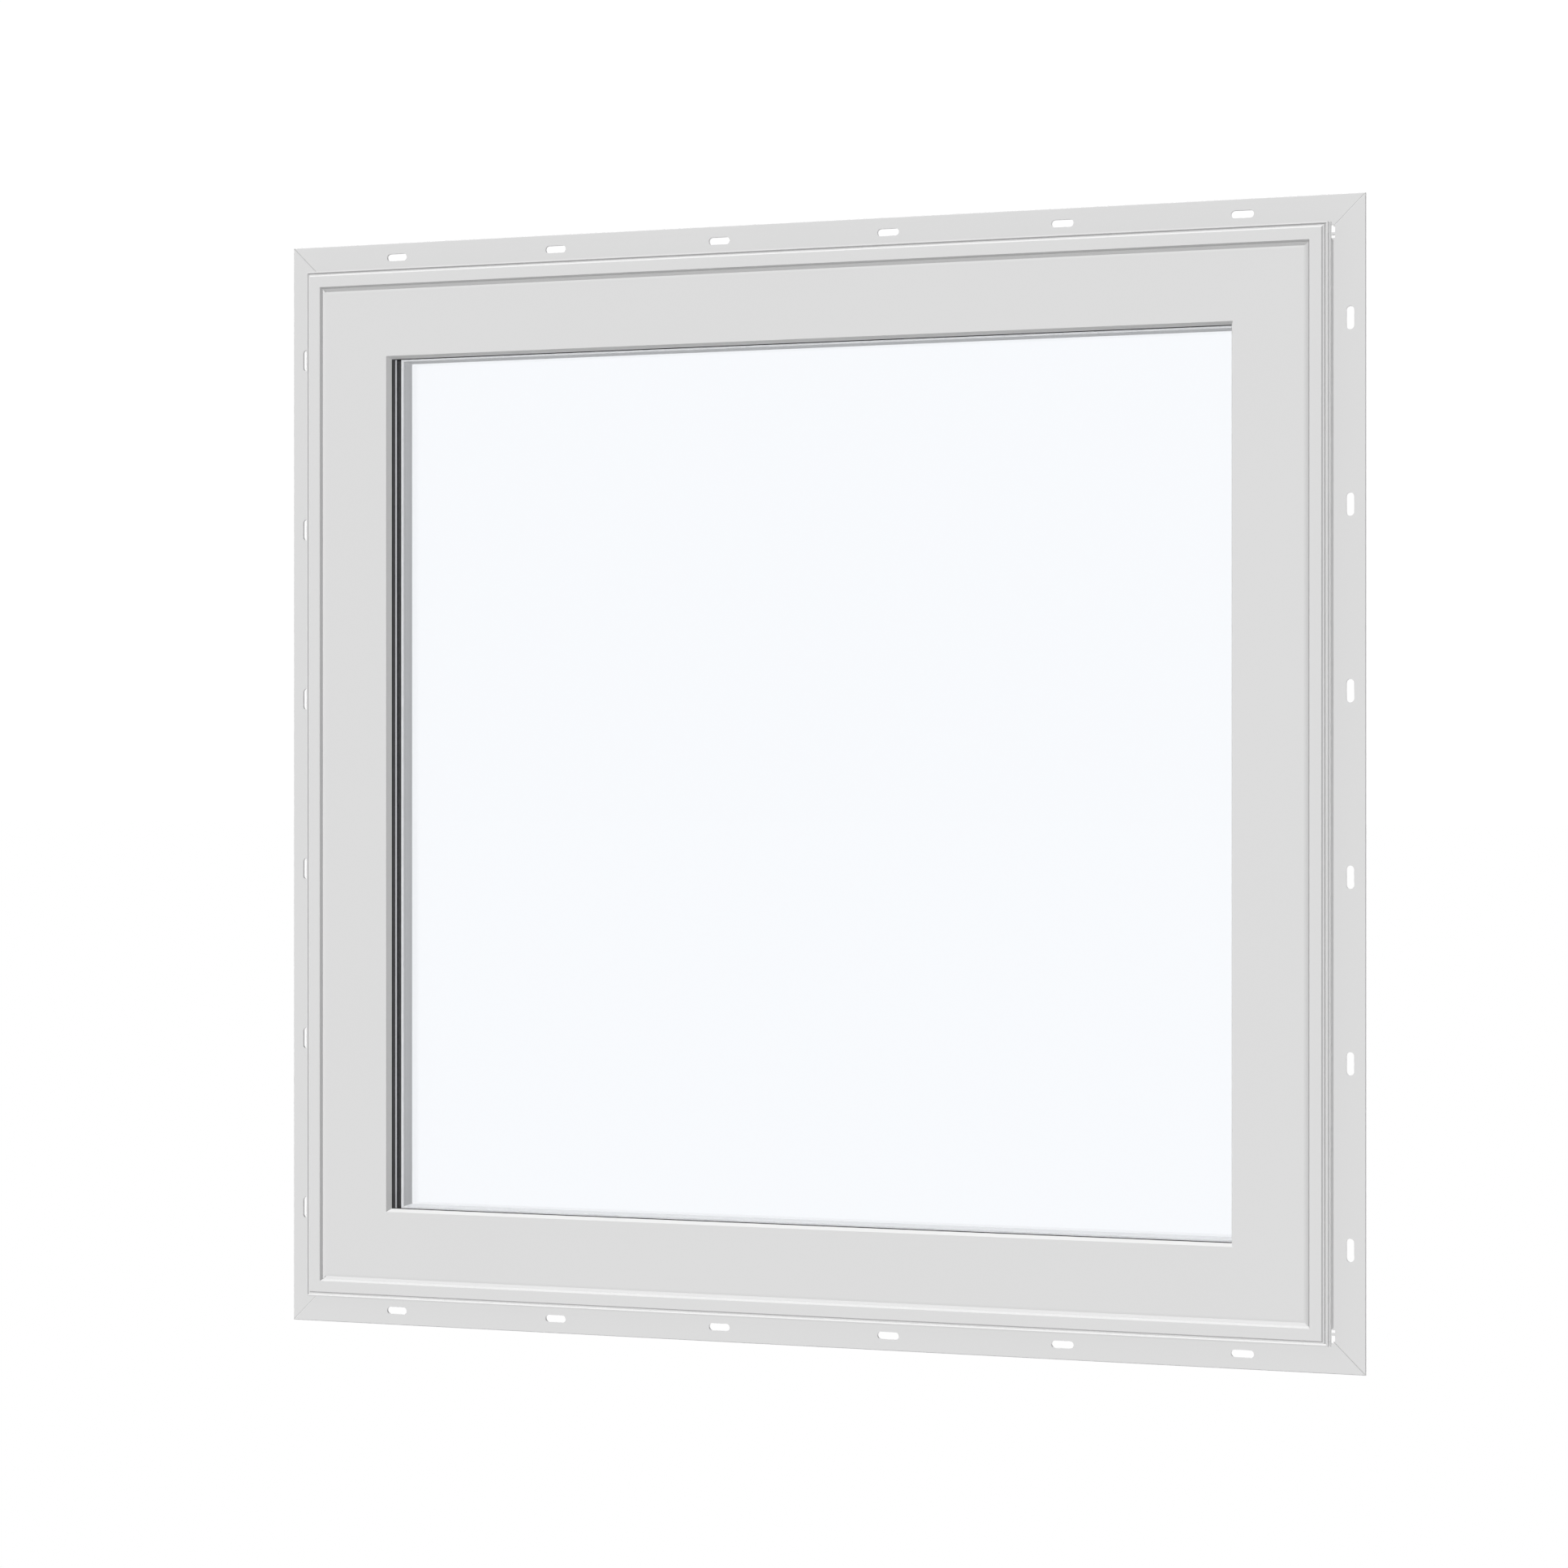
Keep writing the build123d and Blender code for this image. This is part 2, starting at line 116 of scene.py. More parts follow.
MERGE_DISTANCE = 1e-7  # points nearer than this, in metres, become one
FLOOR_REACH = 40.0  # half a side of the floor, in metres
FIRST_BOUNCE = 0.5  # between the light path depths 0, before a bounce, and 1, after it
LEVEL_GAZE = math.pi / 2  # tilt of a camera or a sun that looks level instead of down
WHITE = (1.0, 1.0, 1.0, 1.0)
BLACK = (0.0, 0.0, 0.0, 1.0)


def colour_property(name, description, default):
    """Colour that a user may change."""
    return bpy.props.FloatVectorProperty(
        name=name,
        description=description,
        default=default,
        subtype="COLOR",
        size=3,
        min=0.0,
        max=1.0,
    )


def share_property(name, description, default):
    """Number between none and all."""
    return bpy.props.FloatProperty(
        name=name, description=description, default=default, subtype="FACTOR", min=0.0, max=1.0
    )


def length_property(name, description, default):
    """Length in metres."""
    return bpy.props.FloatProperty(
        name=name, description=description, default=default, unit="LENGTH", precision=5, min=0.0
    )


def angle_property(name, description, degrees):
    """Angle, shown in degrees."""
    return bpy.props.FloatProperty(
        name=name, description=description, default=math.radians(degrees), subtype="ANGLE"
    )


def strength_property(name, description, default):
    """Brightness of a light or a backdrop."""
    return bpy.props.FloatProperty(name=name, description=description, default=default, min=0.0)


class VinylFinish(bpy.types.PropertyGroup):
    """Extruded white vinyl of frame, sash, beads and fins."""

    colour: colour_property("Colour", "Colour of the vinyl", (0.80, 0.80, 0.80))
    roughness: share_property("Roughness", "Roughness of the satin surface", 0.42)
    gloss: share_property("Gloss", "Strength of the reflections; bare plastic has 0.5", 0.1)
    mottle: share_property("Mottle", "How much the shade wanders over a member", 0.012)
    line_pitch: length_property("Line pitch", "Usual distance between extrusion lines", 0.0011)
    line_depth: length_property("Line depth", "Depth of the fine extrusion lines", 0.000008)
    seam_width: length_property("Seam width", "Width of the welded seam on each mitre", 0.0007)
    # Painted shade: a darker line along the frame and sash mitre seams, standing in for the shade
    # in the weld seam's groove
    seam_painted_shade: share_property("Seam shade", "How much the seam of frame and sash darkens", 0.012)
    # Painted light: the beads' soft lip behind the inner pane gets a lighter colour than the
    # vinyl, standing in for light
    nose_painted_light: colour_property("Lip", "Colour of the glazing beads' soft lip", (0.97, 0.97, 0.97))
    nose_painted_light_depth: length_property("Lip depth", "Depth of the glazing beads' soft lip", 0.0004)
    # Painted shade: a darker line along the fins' mitre joint, standing in for the shade in its
    # groove
    joint_painted_shade: share_property("Joint shade", "How much the fins' mitre joint darkens", 0.12)


class GlassFinish(bpy.types.PropertyGroup):
    """Two clear panes."""

    tint: colour_property("Tint", "Colour left of light through a pane", (0.975, 0.985, 1.0))


class SealFinish(bpy.types.PropertyGroup):
    """Rubber and foam round the glass and the sash, and the bar between the panes."""

    rubber: colour_property("Rubber", "Colour of the glazing gasket", (0.10, 0.10, 0.102))
    spacer: colour_property("Spacer", "Colour of the spacer bar", (0.024, 0.024, 0.026))
    stripe: colour_property("Stripe", "Colour of the spacer's light strip", (0.86, 0.86, 0.87))
    stripe_start: length_property("Stripe start", "From the outer pane to the strip", 0.0052)
    stripe_width: length_property("Stripe width", "Width of the light strip", 0.0036)
    gloss: share_property("Gloss", "Strength of reflections on rubber and spacer", 0.0)
    foam: colour_property("Foam", "Colour of the weatherstrip", (0.03, 0.03, 0.032))


class HardwareFinish(bpy.types.PropertyGroup):
    """Operator, crank, locks, hinges and their screws."""

    plastic: colour_property("Plastic", "Colour of cover and lock bases", (0.64, 0.64, 0.63))
    enamel: colour_property("Enamel", "Colour of crank and lock levers", (0.70, 0.70, 0.69))
    gloss: share_property("Gloss", "Strength of reflections on plastic and enamel", 0.25)
    steel: colour_property("Steel", "Colour of the hinges and screws", (0.56, 0.56, 0.57))
    screw_radius: length_property("Screw radius", "Radius of a screw's head", 0.0032)
    screw_height: length_property("Screw height", "Height of a screw's head", 0.0014)
    screw_inset: length_property("Screw inset", "From an end of a base to its screw", 0.010)


class StudioSettings(bpy.types.PropertyGroup):
    """Plain soft light, pale floor and the camera.

    A light's side is how far it stands to the left of straight ahead, seen from outdoors.
    """

    key_strength: strength_property("Key light", "Strength of the light from above left", 3.86)
    key_side: angle_property("Key side", "How far left the key stands", 50.0)
    key_height: angle_property("Key height", "How high the key stands", 49.7)
    fill_strength: strength_property("Fill light", "Strength of the light from below right", 1.59)
    fill_side: angle_property("Fill side", "How far left the fill stands", -53.8)
    fill_height: angle_property("Fill height", "How high the fill stands", -32.5)
    back_strength: strength_property("Back light", "Strength of the light on the room side", 1.7)
    back_side: angle_property("Back side", "How far left the back light stands", 180.0)
    back_height: angle_property("Back height", "How high the back light stands", 6.0)
    softness: angle_property("Softness", "Width of each light as the window sees it", 24.0)
    ambient: strength_property("Ambient", "Brightness of the room on dull surfaces", 0.15)
    reflected: strength_property("Reflected", "Brightness of the room in glass and gloss", 0.75)
    backdrop: strength_property("Backdrop", "Brightness of the backdrop", 1.03)
    floor: strength_property("Floor", "Brightness of the floor", 1.0)
    camera_across: length_property("Camera across", "How far right of the middle it is", 0.93826)
    camera_away: length_property("Camera away", "How far in front of the fin it is", 2.88954)
    camera_turn: angle_property("Camera turn", "How far it turns to its left", 18.3112)
    camera_view: angle_property("Camera view", "Angle that the camera takes in", 25.0)


def feed(tree, socket, value):
    """Link an output to an input socket, or give the input a plain value."""
    if isinstance(value, bpy.types.NodeSocket):
        tree.links.new(value, socket)
    else:
        socket.default_value = value


def node(tree, kind, label="", **inputs):
    """New shader node whose named input sockets hold the given values or links."""
    new = tree.nodes.new(kind)
    new.label = label
    for name, value in inputs.items():
        feed(tree, new.inputs[name.replace("_", " ")], value)
    return new


def calculate(tree, operation, *values):
    """Output of a Math node on up to three values or sockets."""
    new = tree.nodes.new("ShaderNodeMath")
    new.operation = operation
    for socket, value in zip(new.inputs, values):
        feed(tree, socket, value)
    return new.outputs[0]


def mix_colours(tree, factor, first, second):
    """Colour between two colours or sockets."""
    new = tree.nodes.new("ShaderNodeMix")
    new.data_type = "RGBA"
    feed(tree, next(s for s in new.inputs if s.name == "Factor" and s.type == "VALUE"), factor)
    colour_sockets = [s for s in new.inputs if s.type == "RGBA"]
    for socket, value in zip(colour_sockets, (first, second)):
        feed(tree, socket, value if isinstance(value, bpy.types.NodeSocket) else (*value, 1.0))
    return next(s for s in new.outputs if s.type == "RGBA")


def mix_shaders(tree, factor, first, second):
    """Mix Shader node between two shader nodes."""
    mix = tree.nodes.new("ShaderNodeMixShader")
    tree.links.new(factor, mix.inputs[0])
    tree.links.new(first.outputs[0], mix.inputs[1])
    tree.links.new(second.outputs[0], mix.inputs[2])
    return mix


def darker(colour, share):
    """Colour less a share of itself."""
    return tuple(channel * (1 - share) for channel in colour)


def new_group(name, inputs, outputs):
    """Shader node group with named sockets, its entry node and its exit node."""
    group = bpy.data.node_groups.new(name, "ShaderNodeTree")
    for socket, kind, default in inputs:
        made = group.interface.new_socket(socket, in_out="INPUT", socket_type=kind)
        if default is not None:
            made.default_value = default
    for socket, kind in outputs:
        group.interface.new_socket(socket, in_out="OUTPUT", socket_type=kind)
    return group, group.nodes.new("NodeGroupInput"), group.nodes.new("NodeGroupOutput")


def extrusion_group():
    """Fine lines along an extruded member and a slow wander of its shade.

    Lines: noise of the position stretched along the member, so it changes only across it.
    Wander: noise of the unstretched position, some hand widths long.
    """
    name = "extrusion lines"
    if name in bpy.data.node_groups:
        return bpy.data.node_groups[name]
    group, entry, leave = new_group(
        name,
        [
            ("Stretched", "NodeSocketVector", None),
            ("Place", "NodeSocketVector", None),
            ("Pitch", "NodeSocketFloat", 0.001),
        ],
        [("Height", "NodeSocketFloat"), ("Wander", "NodeSocketFloat")],
    )
    lines = node(
        group,
        "ShaderNodeTexNoise",
        "lines across the member",
        Vector=entry.outputs["Stretched"],
        Scale=calculate(group, "DIVIDE", 1.0, entry.outputs["Pitch"]),
        Detail=2.0,
        Roughness=0.6,
    )
    wander = node(
        group,
        "ShaderNodeTexNoise",
        "slow wander",
        Vector=entry.outputs["Place"],
        Scale=WANDER_SCALE,
        Detail=1.0,
    )
    group.links.new(lines.outputs[0], leave.inputs["Height"])
    group.links.new(wander.outputs[0], leave.inputs["Wander"])
    return group


def grain_group():
    """Moulded or cast grain: two sizes of soft pits, as a height and as a shade."""
    name = "moulded grain"
    if name in bpy.data.node_groups:
        return bpy.data.node_groups[name]
    group, entry, leave = new_group(
        name,
        [("Place", "NodeSocketVector", None), ("Pitch", "NodeSocketFloat", 0.001)],
        [("Height", "NodeSocketFloat"), ("Shade", "NodeSocketFloat")],
    )
    fineness = calculate(group, "DIVIDE", 1.0, entry.outputs["Pitch"])
    fine = node(
        group,
        "ShaderNodeTexNoise",
        "fine pits",
        Vector=entry.outputs["Place"],
        Scale=fineness,
        Detail=3.0,
    )
    coarse = node(
        group,
        "ShaderNodeTexNoise",
        "broad waves",
        Vector=entry.outputs["Place"],
        Scale=calculate(group, "DIVIDE", fineness, BROAD_WAVES),
        Detail=1.0,
    )
    both = calculate(group, "MULTIPLY_ADD", coarse.outputs[0], BROAD_HEIGHT, fine.outputs[0])
    group.links.new(both, leave.inputs["Height"])
    group.links.new(coarse.outputs[0], leave.inputs["Shade"])
    return group


def from_middle(tree, value, low, high):
    """Distance of a value from the middle between low and high."""
    return calculate(tree, "ABSOLUTE", calculate(tree, "SUBTRACT", value, (low + high) / 2))


def seam_group():
    """Mask of the mitre seams, where the vinyl gets a painted shade line, fading out over the
    seam's width.

    A mitre runs where the distance from the frame's upright middle line and the distance from its
    level middle line differ by as much as half the frame's width and half its height do.
    """
    name = "mitre seam"
    if name in bpy.data.node_groups:
        return bpy.data.node_groups[name]
    group, entry, leave = new_group(
        name,
        [("Place", "NodeSocketVector", None), ("Width", "NodeSocketFloat", 0.001)],
        [("Mask", "NodeSocketFloat")],
    )
    low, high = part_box("outer_glass")
    split = node(group, "ShaderNodeSeparateXYZ", Vector=entry.outputs["Place"])
    across = from_middle(group, split.outputs["X"], low.x, high.x)
    upward = from_middle(group, split.outputs["Z"], low.z, high.z)
    offset = ((high.x - low.x) - (high.z - low.z)) / 2
    apart = calculate(group, "SUBTRACT", calculate(group, "SUBTRACT", across, upward), offset)
    distance = calculate(group, "ABSOLUTE", apart)
    share = calculate(group, "DIVIDE", distance, entry.outputs["Width"])
    mask = calculate(group, "SUBTRACT", 1.0, share)
    mask.node.use_clamp = True
    group.links.new(mask, leave.inputs["Mask"])
    return group


def band_group():
    """Mask of what lies between two depths, measured on the Y axis from outdoors to the room."""
    name = "depth band"
    if name in bpy.data.node_groups:
        return bpy.data.node_groups[name]
    group, entry, leave = new_group(
        name,
        [
            ("Place", "NodeSocketVector", None),
            ("Near", "NodeSocketFloat", 0.0),
            ("Far", "NodeSocketFloat", 0.001),
        ],
        [("Mask", "NodeSocketFloat")],
    )
    split = node(group, "ShaderNodeSeparateXYZ", Vector=entry.outputs["Place"])
    behind = calculate(group, "GREATER_THAN", split.outputs["Y"], entry.outputs["Near"])
    before = calculate(group, "LESS_THAN", split.outputs["Y"], entry.outputs["Far"])
    group.links.new(calculate(group, "MULTIPLY", behind, before), leave.inputs["Mask"])
    return group


def use_group(tree, group, **inputs):
    """Place a node group in a material, its named inputs fed with values or links."""
    new = tree.nodes.new("ShaderNodeGroup")
    new.node_tree = group
    for name, value in inputs.items():
        feed(tree, new.inputs[name], value)
    return new


def new_material(name, roughness, gloss=USUAL_GLOSS):
    """Material, its node tree, its shader and the object's own coordinates."""
    material = bpy.data.materials.new(name)
    material.use_nodes = True
    tree = material.node_tree
    shader = tree.nodes["Principled BSDF"]
    shader.inputs["Roughness"].default_value = roughness
    shader.inputs["Specular IOR Level"].default_value = gloss
    place = tree.nodes.new("ShaderNodeTexCoord").outputs["Object"]
    return material, tree, shader, place


def raise_surface(tree, shader, height, depth):
    """Lead a height through a Bump node to the shader's normal."""
    bump = node(tree, "ShaderNodeBump", Height=height, Distance=depth, Strength=1.0)
    tree.links.new(bump.outputs[0], shader.inputs["Normal"])


def wander_roughness(tree, shader, factor, roughness, spread):
    """Roughness that wanders round its usual value."""
    low = roughness - spread / 2
    wandering = calculate(tree, "MULTIPLY_ADD", factor, spread, low)
    tree.links.new(wandering, shader.inputs["Roughness"])


def vinyl_material(name, stretch, finish, seam_painted_shade):
    """White vinyl with fine lines along the member and a painted shade line of the given strength
    along its mitre seams.
    """
    material, tree, shader, place = new_material(name, finish.roughness, finish.gloss)
    stretched = node(tree, "ShaderNodeMapping", Vector=place, Scale=stretch).outputs[0]
    lines = use_group(
        tree, extrusion_group(), Stretched=stretched, Place=place, Pitch=finish.line_pitch
    )
    seam = use_group(tree, seam_group(), Place=place, Width=finish.seam_width)
    usual = tuple(finish.colour)
    dull = darker(usual, finish.mottle)
    shaded = mix_colours(tree, lines.outputs["Wander"], usual, dull)
    # Painted shade: the colour darkens along the mitre seam, as the shade in its groove would
    whole = mix_colours(tree, seam.outputs["Mask"], shaded, darker(usual, seam_painted_shade))
    tree.links.new(whole, shader.inputs["Base Color"])
    wander_roughness(tree, shader, lines.outputs["Wander"], finish.roughness, VINYL_SPREAD)
    raise_surface(tree, shader, lines.outputs["Height"], finish.line_depth)
    return material


def glass_material(finish):
    """Clear float glass."""
    material, _, shader, _ = new_material("clear_glass", roughness=0.0)
    shader.inputs["Base Color"].default_value = (*finish.tint, 1.0)
    shader.inputs["Transmission Weight"].default_value = 1.0
    return material


def grained_material(name, colour, grain, gloss=USUAL_GLOSS):
    """Moulded, cast or painted surface with a fine grain."""
    material, tree, shader, place = new_material(name, grain.roughness, gloss)
    pits = use_group(tree, grain_group(), Place=place, Pitch=grain.pitch)
    usual = tuple(colour)
    whole = mix_colours(tree, pits.outputs["Shade"], usual, darker(usual, grain.shade))
    tree.links.new(whole, shader.inputs["Base Color"])
    spread = grain.roughness * GRAIN_SPREAD
    wander_roughness(tree, shader, pits.outputs["Shade"], grain.roughness, spread)
    raise_surface(tree, shader, pits.outputs["Height"], grain.depth)
    return material


def brushed_material(name, colour, stretch):
    """Bare steel brushed along its length."""
    material, tree, shader, place = new_material(name, STEEL_BRUSH.roughness)
    stretched = node(tree, "ShaderNodeMapping", Vector=place, Scale=stretch).outputs[0]
    lines = use_group(
        tree, extrusion_group(), Stretched=stretched, Place=place, Pitch=STEEL_BRUSH.pitch
    )
    usual = tuple(colour)
    height = lines.outputs["Height"]
    whole = mix_colours(tree, height, usual, darker(usual, STEEL_BRUSH.shade))
    tree.links.new(whole, shader.inputs["Base Color"])
    wander_roughness(tree, shader, height, STEEL_BRUSH.roughness, BRUSH_SPREAD)
    raise_surface(tree, shader, height, STEEL_BRUSH.depth)
    shader.inputs["Metallic"].default_value = 1.0
    return material


def tint_band(material, near, far, colour):
    """Give a finished material another colour between two depths."""
    tree = material.node_tree
    base = tree.nodes["Principled BSDF"].inputs["Base Color"]
    place = tree.nodes["Texture Coordinate"].outputs["Object"]
    band = use_group(tree, band_group(), Place=place, Near=near, Far=far)
    usual = base.links[0].from_socket
    tree.links.new(mix_colours(tree, band.outputs["Mask"], usual, tuple(colour)), base)
    return material


def spacer_material(finish):
    """Dark spacer bar with a light strip along it, a set way behind the outer pane."""
    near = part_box("outer_glass")[1].y + finish.stripe_start
    bar = grained_material("spacer_bar", finish.spacer, SPACER_GRAIN, finish.gloss)
    return tint_band(bar, near, near + finish.stripe_width, finish.stripe)


def bead_material(name, stretch, finish):
    """Bead vinyl whose soft lip, on the face against the inner pane, gets painted light: a lighter
    colour standing in for light that the glass holds back.
    """
    pane_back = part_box("inner_glass")[1].y
    bead = vinyl_material(name, stretch, finish, finish.seam_painted_shade)
    # Painted light: a lighter band on the bead's face against the inner pane
    return tint_band(bead, pane_back - finish.nose_painted_light_depth, pane_back + finish.nose_painted_light_depth, finish.nose_painted_light)


def dress(names, material):
    """Give CAD nodes a finished material."""
    for name in names:
        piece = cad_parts[name]
        if not piece.material_slots:
            piece.data.materials.append(material)
        for held in piece.material_slots:
            held.material = material


def surface(name, points, material, closed=False):
    """Mesh of a grid of points, rows along u and columns along v, closed along u where asked.

    Each face joins point (i, j) to (i+1, j), (i+1, j+1) and (i, j+1), and the last row to the
    first where the grid is closed. Points that fall together are merged and normals face outwards.
    """
    rows, columns = points.shape[:2]
    index = np.arange(rows * columns).reshape(rows, columns)
    if closed:
        index = np.vstack([index, index[:1]])
    corners = (index[:-1, :-1], index[1:, :-1], index[1:, 1:], index[:-1, 1:])
    faces = np.stack(corners, axis=-1).reshape(-1, 4)
    mesh = bpy.data.meshes.new(name)
    mesh.from_pydata(points.reshape(-1, 3).tolist(), [], faces.tolist())
    work = bmesh.new()
    work.from_mesh(mesh)
    bmesh.ops.remove_doubles(work, verts=work.verts, dist=MERGE_DISTANCE)
    bmesh.ops.recalc_face_normals(work, faces=work.faces)
    work.to_mesh(mesh)
    work.free()
    mesh.materials.append(material)
    piece = bpy.data.objects.new(name, mesh)
    bpy.context.scene.collection.objects.link(piece)
    return piece


def smooth_step(low, high, value):
    """Rise from 0 at low to 1 at high with level ends."""
    share = np.clip((value - low) / (high - low), 0.0, 1.0)
    return share * share * (3 - 2 * share)


def screw_head(centre, outward, sideways, radius, height):
    """Grid of a pan head with a cross recess, seated on a face whose normal is outward.

    u runs round the head and v from its middle over the rim to the seat. Out to the rim the head
    is as high as the rim plus the rest of its height times the square root of 1 - (r / R)^4, less
    the recess: a cross of two bars with sloping walls that runs out before the rim.
    """
    turns = np.linspace(0, 2 * math.pi, SCREW_POINTS, endpoint=False)
    angle, share = np.meshgrid(turns, np.array(SCREW_REACH), indexing="ij")
    x = radius * share * np.cos(angle)
    y = radius * share * np.sin(angle)
    dome = np.sqrt(np.clip(1 - share**4, 0, 1))
    bar = BAR_WIDTH * radius
    cross = 1 - smooth_step(bar, BAR_TOP * bar, np.minimum(np.abs(x), np.abs(y)))
    recess = RECESS_DEPTH * cross * (1 - smooth_step(*RECESS_END, share))
    level = height * (RIM_HEIGHT + (1 - RIM_HEIGHT) * dome - recess)
    level[:, -2:] = 0.0  # the seat, from its edge to its middle
    outward = np.array(outward, float)
    sideways = np.array(sideways, float)
    third = np.cross(outward, sideways)
    spread = x[..., None] * sideways + y[..., None] * third
    return np.array(centre) + spread + level[..., None] * outward


def lock_screws(hand, material, finish):
    """Two screw heads in a lock base, one near each of its ends, on the face that looks across."""
    low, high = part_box(f"lock_base_{hand}")
    across = 1.0 if hand == "left" else -1.0
    face = high.x if hand == "left" else low.x
    middle = (low.y + high.y) / 2
    for end, level in (("low", low.z + finish.screw_inset), ("high", high.z - finish.screw_inset)):
        grid = screw_head(
            centre=(face, middle, level),
            outward=(across, 0.0, 0.0),
            sideways=(0.0, across, 0.0),
            radius=finish.screw_radius,
            height=finish.screw_height,
        )
        screw = surface(f"lock_screw_{hand}_{end}", grid, material, closed=True)
        screw.data.shade_smooth()
        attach(screw, BODY)


def build_floor(settings):
    """Pale lit floor, as wide as a large studio, level with the window's lowest edge."""
    ends = [-FLOOR_REACH, FLOOR_REACH]
    across, along = np.meshgrid(ends, ends, indexing="ij")
    level = np.full(across.shape, CAD_LOW[2])
    material, _, shader, _ = new_material("pale_floor", roughness=0.9, gloss=0.0)
    shader.inputs["Base Color"].default_value = BLACK
    shader.inputs["Emission Color"].default_value = WHITE
    shader.inputs["Emission Strength"].default_value = settings.floor
    floor = surface("floor", np.stack([across, along, level], axis=-1), material)
    floor.visible_diffuse = False
    floor.visible_glossy = False
    floor.visible_shadow = False


def build_surroundings(scene, settings):
    """Even light from all sides, and a white backdrop where the camera looks past the window."""
    world = bpy.data.worlds.new("soft_room")
    scene.world = world
    world.use_nodes = True
    tree = world.node_tree
    tree.nodes.clear()
    path = tree.nodes.new("ShaderNodeLightPath")
    dull, gloss, drop = (
        node(tree, "ShaderNodeBackground", Color=WHITE, Strength=strength)
        for strength in (settings.ambient, settings.reflected, settings.backdrop)
    )
    mirrored = calculate(tree, "GREATER_THAN", path.outputs["Glossy Depth"], FIRST_BOUNCE)
    scattered = calculate(tree, "GREATER_THAN", path.outputs["Diffuse Depth"], FIRST_BOUNCE)
    seen = mix_shaders(tree, mirrored, drop, gloss)
    whole = mix_shaders(tree, scattered, seen, dull)
    leave = tree.nodes.new("ShaderNodeOutputWorld")
    tree.links.new(whole.outputs[0], leave.inputs["Surface"])


def build_lamp(name, strength, side, height, softness):
    """Broad soft light without shadows; side turns it to the left, height lifts it.

    It doesn't light what is only met after a scattered bounce, so that grooves keep their shade,
    and it isn't seen through the glass or mirrored in it, where its round edge would show.
    """
    lamp = bpy.data.lights.new(name, "SUN")
    lamp.energy = strength
    lamp.angle = softness
    lamp.use_shadow = False
    lamp.use_nodes = True
    tree = lamp.node_tree
    path = tree.nodes.new("ShaderNodeLightPath")
    direct = calculate(tree, "LESS_THAN", path.outputs["Diffuse Depth"], FIRST_BOUNCE)
    tree.links.new(direct, tree.nodes["Emission"].inputs["Strength"])
    holder = bpy.data.objects.new(name, lamp)
    holder.rotation_euler = (LEVEL_GAZE - height, 0.0, -side)
    holder.visible_transmission = False
    holder.visible_glossy = False
    bpy.context.scene.collection.objects.link(holder)


def build_camera(scene, settings):
    """Camera at the window's mid height, right of it and turned to its left."""
    data = bpy.data.cameras.new("camera")
    data.angle = settings.camera_view
    holder = bpy.data.objects.new("camera", data)
    low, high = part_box("outer_glass")
    holder.location = (settings.camera_across, -settings.camera_away, (low.z + high.z) / 2)
    holder.rotation_euler = (LEVEL_GAZE, 0.0, settings.camera_turn)
    scene.collection.objects.link(holder)
    scene.camera = holder
    scene.view_settings.view_transform = "Standard"


class AWNING_OT_vinyl(bpy.types.Operator):
    """Finish the frame, sash, glazing beads and nail fins in white vinyl"""

    bl_idname = "awning.vinyl"
    bl_label = "Vinyl members"

    def execute(self, context):
        finish = context.scene.awning_vinyl
        for word, stretch, members, fins, beads in RUNS:
            # Painted shade along the mitre seams of frame, sash and beads
            dress(members, vinyl_material(f"vinyl_{word}", stretch, finish, finish.seam_painted_shade))
            # Painted shade along the fins' mitre joint
            dress(fins, vinyl_material(f"fin_vinyl_{word}", stretch, finish, finish.joint_painted_shade))
            # Painted light on the beads' soft lip behind the glass
            dress(beads, bead_material(f"bead_vinyl_{word}", stretch, finish))
        return {"FINISHED"}


class AWNING_OT_glass(bpy.types.Operator):
    """Finish both panes in clear glass"""

    bl_idname = "awning.glass"
    bl_label = "Panes"

    def execute(self, context):
        dress(("outer_glass", "inner_glass"), glass_material(context.scene.awning_glass))
        return {"FINISHED"}


class AWNING_OT_seals(bpy.types.Operator):
    """Finish the gasket, the spacer bar and the weatherstrip"""

    bl_idname = "awning.seals"
    bl_label = "Gasket, spacer and weatherstrip"

    def execute(self, context):
        finish = context.scene.awning_seals
        rubber = grained_material("gasket_rubber", finish.rubber, RUBBER_GRAIN, finish.gloss)
        foam = grained_material("weatherstrip_foam", finish.foam, FOAM_GRAIN)
        dress([f"gasket_{side}" for side in SIDES], rubber)
        dress([f"spacer_{side}" for side in SIDES], spacer_material(finish))
        dress([f"weatherstrip_{side}" for side in SIDES], foam)
        return {"FINISHED"}


class AWNING_OT_hardware(bpy.types.Operator):
    """Finish the operator cover, the crank, the locks and the hinges"""

    bl_idname = "awning.hardware"
    bl_label = "Operator, locks and hinges"

    def execute(self, context):
        finish = context.scene.awning_hardware
        gloss = finish.gloss
        plastic = grained_material("hardware_plastic", finish.plastic, PLASTIC_GRAIN, gloss)
        enamel = grained_material("hardware_enamel", finish.enamel, ENAMEL_GRAIN, gloss)
        steel = brushed_material("hinge_steel", finish.steel, HINGE_STRETCH)
        dress(["operator_cover", "crank_knob", *(f"lock_base_{hand}" for hand in HANDS)], plastic)
        dress(["crank_arm", *(f"lock_lever_{hand}" for hand in HANDS)], enamel)
        dress([f"hinge_{part}_{hand}" for part in ("track", "arm") for hand in HANDS], steel)
        return {"FINISHED"}


class AWNING_OT_screws(bpy.types.Operator):
    """Seat two cross recess screws in each lock base"""

    bl_idname = "awning.screws"
    bl_label = "Lock screws"

    def execute(self, context):
        finish = context.scene.awning_hardware
        steel = brushed_material("screw_steel", finish.steel, EVEN)
        for hand in HANDS:
            lock_screws(hand, steel, finish)
        return {"FINISHED"}


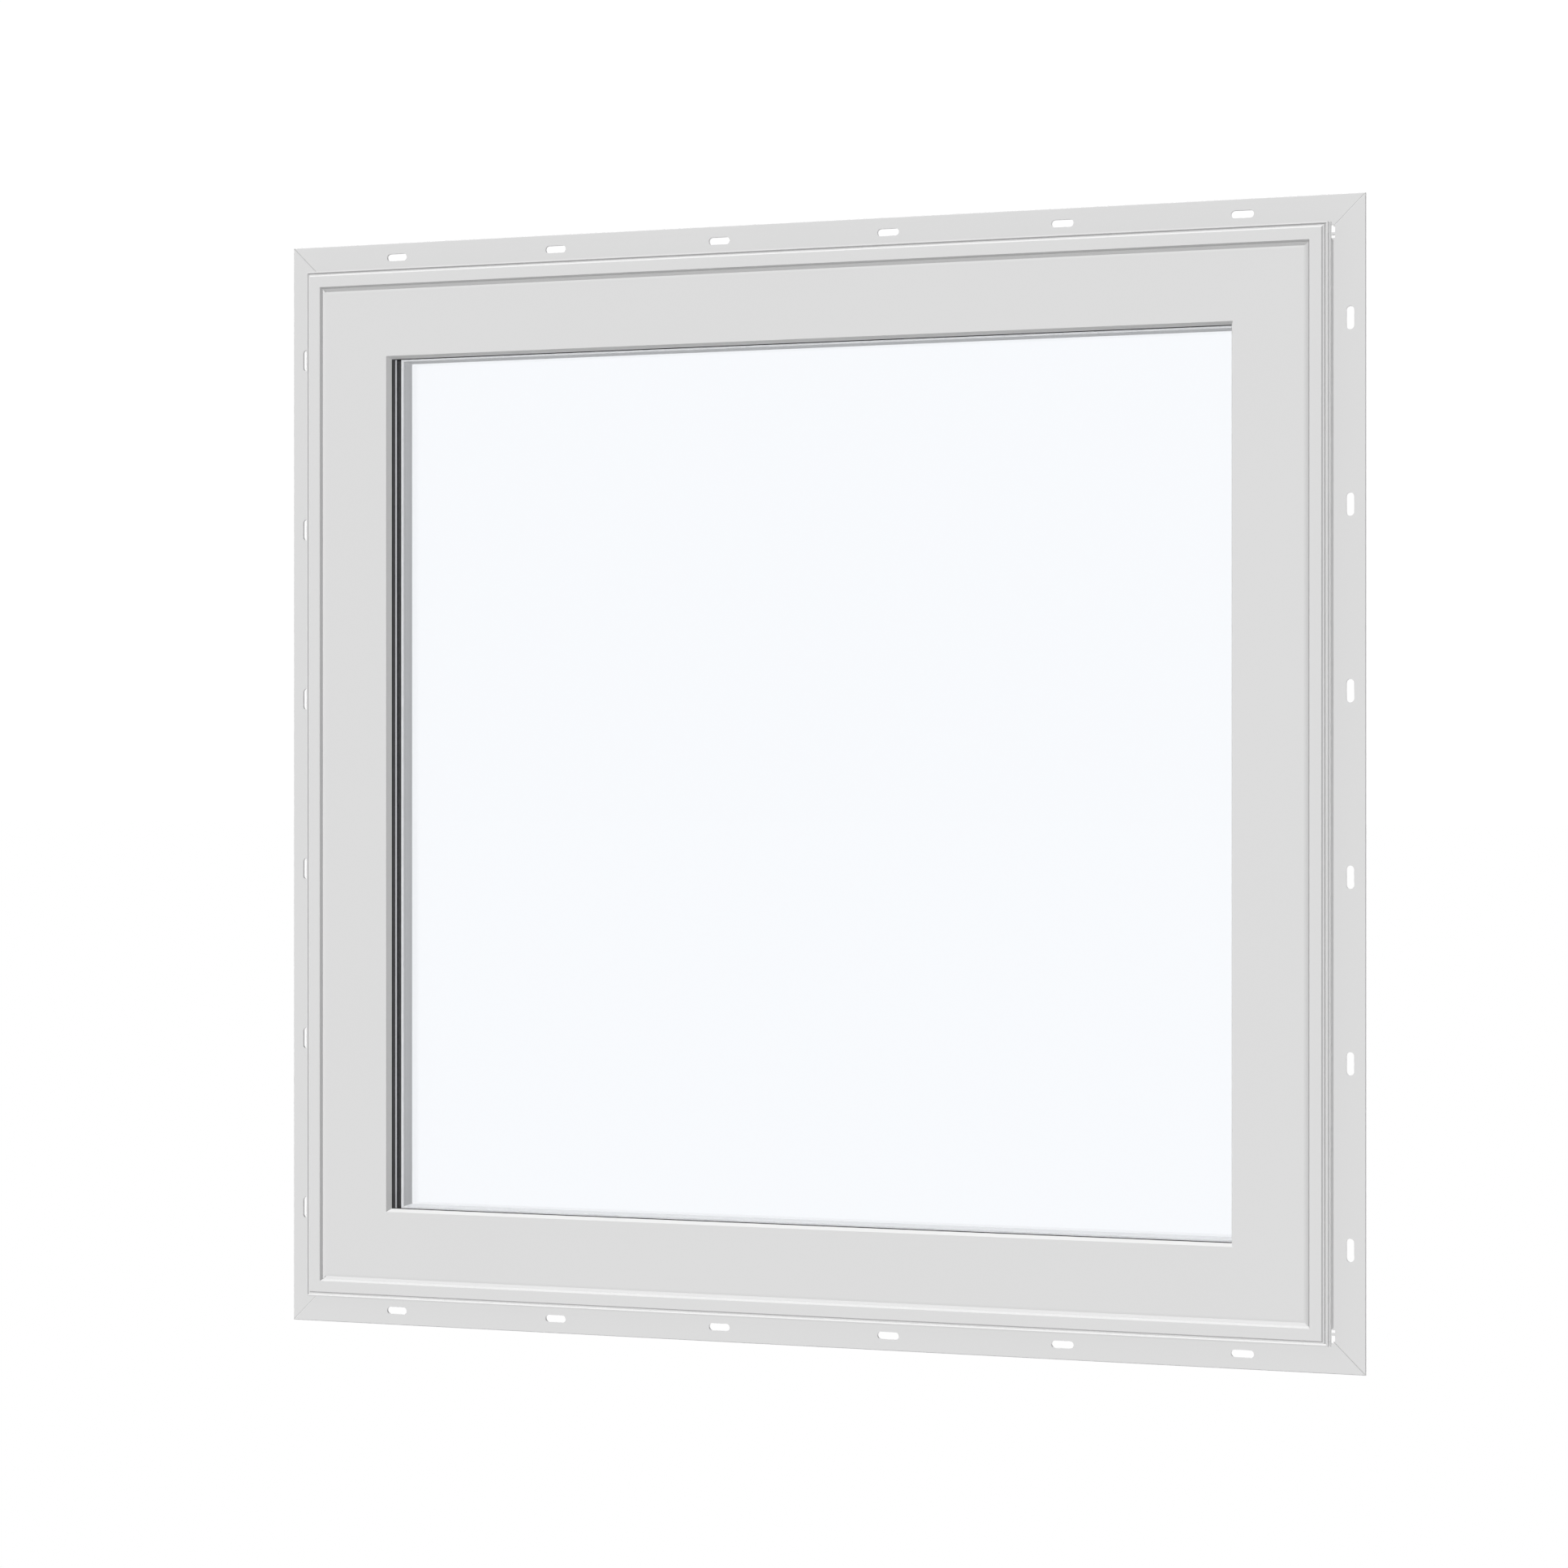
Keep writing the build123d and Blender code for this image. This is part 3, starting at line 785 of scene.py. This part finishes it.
class AWNING_OT_stage(bpy.types.Operator):
    """Set up the pale floor, the soft light and the camera"""

    bl_idname = "awning.stage"
    bl_label = "Studio"

    def execute(self, context):
        settings = context.scene.awning_studio
        build_floor(settings)
        build_surroundings(context.scene, settings)
        for name in ("key", "fill", "back"):
            strength, side, height = (
                getattr(settings, f"{name}_{word}") for word in ("strength", "side", "height")
            )
            build_lamp(name, strength, side, height, settings.softness)
        build_camera(context.scene, settings)
        return {"FINISHED"}


class AWNING_PT_panel(bpy.types.Panel):
    """Every step of the window's looks"""

    bl_idname = "AWNING_PT_panel"
    bl_label = "Awning window"
    bl_space_type = "VIEW_3D"
    bl_region_type = "UI"
    bl_category = "Window"

    def draw(self, context):
        for settings, operators in STEPS:
            block = self.layout.box()
            group = getattr(context.scene, settings)
            for name in group.bl_rna.properties.keys():
                if name not in ("rna_type", "name"):
                    block.prop(group, name)
            for operator in operators:
                block.operator(operator.bl_idname)


GROUPS = {
    "awning_vinyl": VinylFinish,
    "awning_glass": GlassFinish,
    "awning_seals": SealFinish,
    "awning_hardware": HardwareFinish,
    "awning_studio": StudioSettings,
}
STEPS = (
    ("awning_vinyl", (AWNING_OT_vinyl,)),
    ("awning_glass", (AWNING_OT_glass,)),
    ("awning_seals", (AWNING_OT_seals,)),
    ("awning_hardware", (AWNING_OT_hardware, AWNING_OT_screws)),
    ("awning_studio", (AWNING_OT_stage,)),
)
OPERATORS = tuple(operator for _, operators in STEPS for operator in operators)
CLASSES = (*GROUPS.values(), *OPERATORS, AWNING_PT_panel)


def register():
    """Register every class and hang the settings on the scene."""
    for item in CLASSES:
        bpy.utils.register_class(item)
    for name, group in GROUPS.items():
        setattr(bpy.types.Scene, name, bpy.props.PointerProperty(type=group))


def unregister():
    """Take the settings and the classes away again."""
    for name in GROUPS:
        delattr(bpy.types.Scene, name)
    for item in reversed(CLASSES):
        bpy.utils.unregister_class(item)


def main():
    """Build the looks step by step."""
    register()
    for operator in OPERATORS:
        family, name = operator.bl_idname.split(".")
        result = getattr(getattr(bpy.ops, family), name)()
        if "FINISHED" not in result:
            raise RuntimeError(f"{operator.bl_label} did not finish")


if __name__ == "__main__":
    main()
